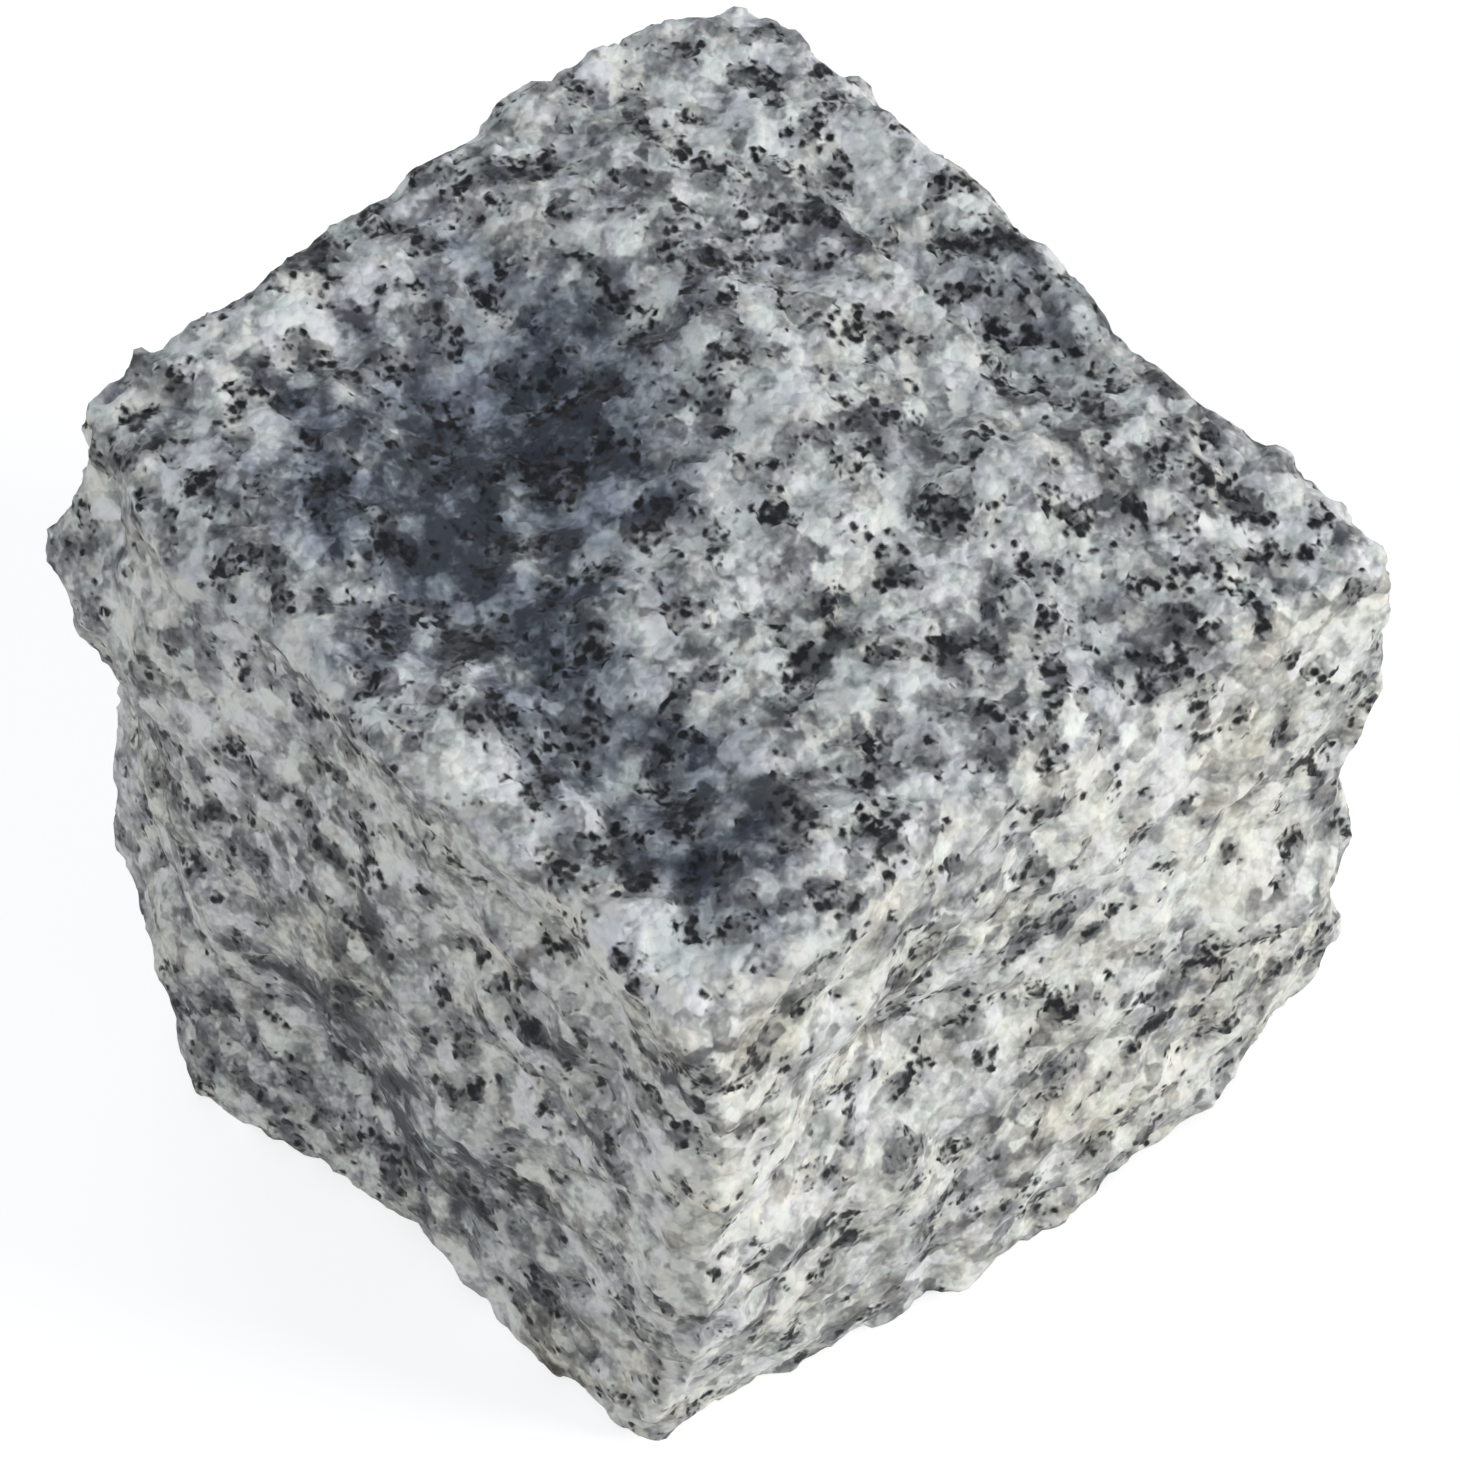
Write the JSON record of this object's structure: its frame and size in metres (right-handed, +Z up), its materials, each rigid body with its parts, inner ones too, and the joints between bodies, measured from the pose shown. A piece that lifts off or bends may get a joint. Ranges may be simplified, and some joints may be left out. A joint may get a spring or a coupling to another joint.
{
  "type": "granite sett",
  "caption": "Rough cubic paving stone of grey granite, split on every face, with uneven arrises and a bed to rest on.",
  "frame": {"origin": "middle of the stone's footprint, on the level surface that it stands on", "axes": "+Z up from the bed to the head; +Y from the front face to the back face; +X to the right-hand face"},
  "size_m": [0.1032, 0.1102, 0.0963],
  "materials": {
    "granite": "split, rough"
  },
  "bodies": {
    "root": {"sett": "granite"}
  },
  "joints": []
}
